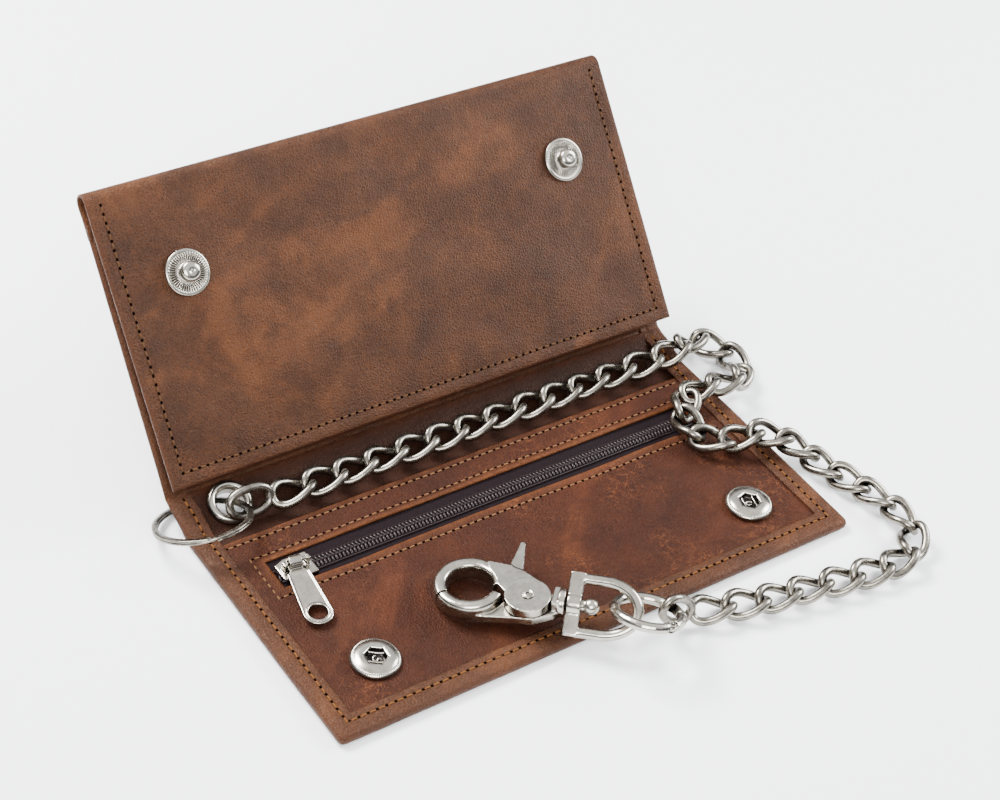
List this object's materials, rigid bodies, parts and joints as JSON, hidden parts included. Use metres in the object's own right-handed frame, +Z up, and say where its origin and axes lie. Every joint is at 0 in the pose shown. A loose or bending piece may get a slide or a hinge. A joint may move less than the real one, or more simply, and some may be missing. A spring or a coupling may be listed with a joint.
{
  "type": "chain wallet",
  "caption": "Long leather wallet lying open, with a zip pocket, snaps, a folded back with a flap, and a curb chain that ends in a trigger hook.",
  "frame": {"origin": "on the surface the wallet lies on, under the middle of its leather panels as they stand open", "axes": "+X along the width, to the right as the open wallet is read, +Y from the front edge towards the back panel, +Z up"},
  "size_m": [0.2139, 0.1823, 0.0799],
  "materials": {
    "pull_up_leather": "waxed pull-up leather, mottled",
    "panel_leather": "smooth reddish brown leather",
    "lining_leather": "thin dark brown lining leather",
    "pocket_cloth": "plain woven pocket cloth",
    "zip_tape": "woven dark zip tape",
    "zip_coil": "nylon coil",
    "nickel": "satin nickel-plated metal",
    "chain_steel": "polished steel wire"
  },
  "bodies": {
    "base": {"base_leather": "pull_up_leather", "zip_pocket_panel": "panel_leather", "hinge_lining": "lining_leather", "pocket_lining": "pocket_cloth", "zip_tape_rear": "zip_tape", "zip_tape_front": "zip_tape", "zip_coil_rear": "zip_coil", "zip_coil_front": "zip_coil", "snap_socket_left": "nickel", "snap_socket_right": "nickel", "socket_back_left": "nickel", "socket_back_right": "nickel", "eyelet": "nickel", "eyelet_washer": "nickel", "hook_body": "nickel", "jaw_rivet": "nickel", "trigger_spring": "chain_steel", "chain_first_link": "chain_steel", "chain": "chain_steel", "chain_last_link": "chain_steel"},
    "slider": {"zip_slider": "nickel"},
    "puller": {"zip_puller": "nickel"},
    "back": {"back_leather": "pull_up_leather", "back_lining": "lining_leather", "bill_pocket": "lining_leather", "card_slot_left_rear": "lining_leather", "card_slot_left_front": "lining_leather", "card_slot_right_rear": "lining_leather", "card_slot_right_front": "lining_leather", "fold_lining": "lining_leather"},
    "flap": {"flap_leather": "pull_up_leather", "flap_lining": "lining_leather", "snap_stud_left": "nickel", "snap_stud_right": "nickel", "stud_back_left": "nickel", "stud_back_right": "nickel"},
    "split_ring": {"split_ring": "nickel"},
    "trigger": {"trigger_jaw": "nickel"},
    "eye": {"swivel_eye": "nickel"},
    "ring": {"gate_ring": "nickel", "gate_pin": "nickel"},
    "gate": {"ring_gate": "nickel"}
  },
  "joints": [
    {"name": "back_fold", "type": "hinge", "parent": "base", "child": "back", "pos_m": [0, 0.0212, 0.00777], "axis": [1, 0, 0], "range_deg": [-50, 35]},
    {"name": "flap_fold", "type": "hinge", "parent": "back", "child": "flap", "pos_m": [0, 0.07652, 0.07788], "axis": [-1, 0, 0], "range_deg": [-1, 175]},
    {"name": "zip_slide", "type": "slide", "parent": "base", "child": "slider", "axis": [1, 0, 0], "range_m": [0, 0.12]},
    {"name": "puller_swing", "type": "hinge", "parent": "slider", "child": "puller", "pos_m": [-0.0711, -0.01701, 0.00635], "axis": [-1, 0, 0], "range_deg": [0, 150]},
    {"name": "split_ring_turn", "type": "hinge", "parent": "base", "child": "split_ring", "pos_m": [-0.08677, 0.00922, 0.00686], "axis": [0, 0.3907, 0.9205], "continuous": true},
    {"name": "trigger_swing", "type": "hinge", "parent": "base", "child": "trigger", "pos_m": [-0.02167, -0.06435, 0.00939], "axis": [0.0835, -0.0864, -0.9928], "range_deg": [0, 25], "stiffness_Nm_per_rad": 0.06, "springref_deg": -17.19},
    {"name": "eye_swivel", "type": "hinge", "parent": "base", "child": "eye", "pos_m": [-0.0323, -0.05061, 0.0073], "axis": [0.6896, -0.7141, 0.1201], "range_deg": [-6, 2]},
    {"name": "gate_ring_turn", "type": "hinge", "parent": "base", "child": "ring", "pos_m": [0.00425, -0.08701, 0.0136], "axis": [0.25, 0.2588, 0.933], "continuous": true},
    {"name": "ring_gate_swing", "type": "hinge", "parent": "ring", "child": "gate", "pos_m": [0.00474, -0.09647, 0.01609], "axis": [0.25, 0.2588, 0.933], "range_deg": [0, 20], "stiffness_Nm_per_rad": 0.02, "springref_deg": -11.46}
  ]
}
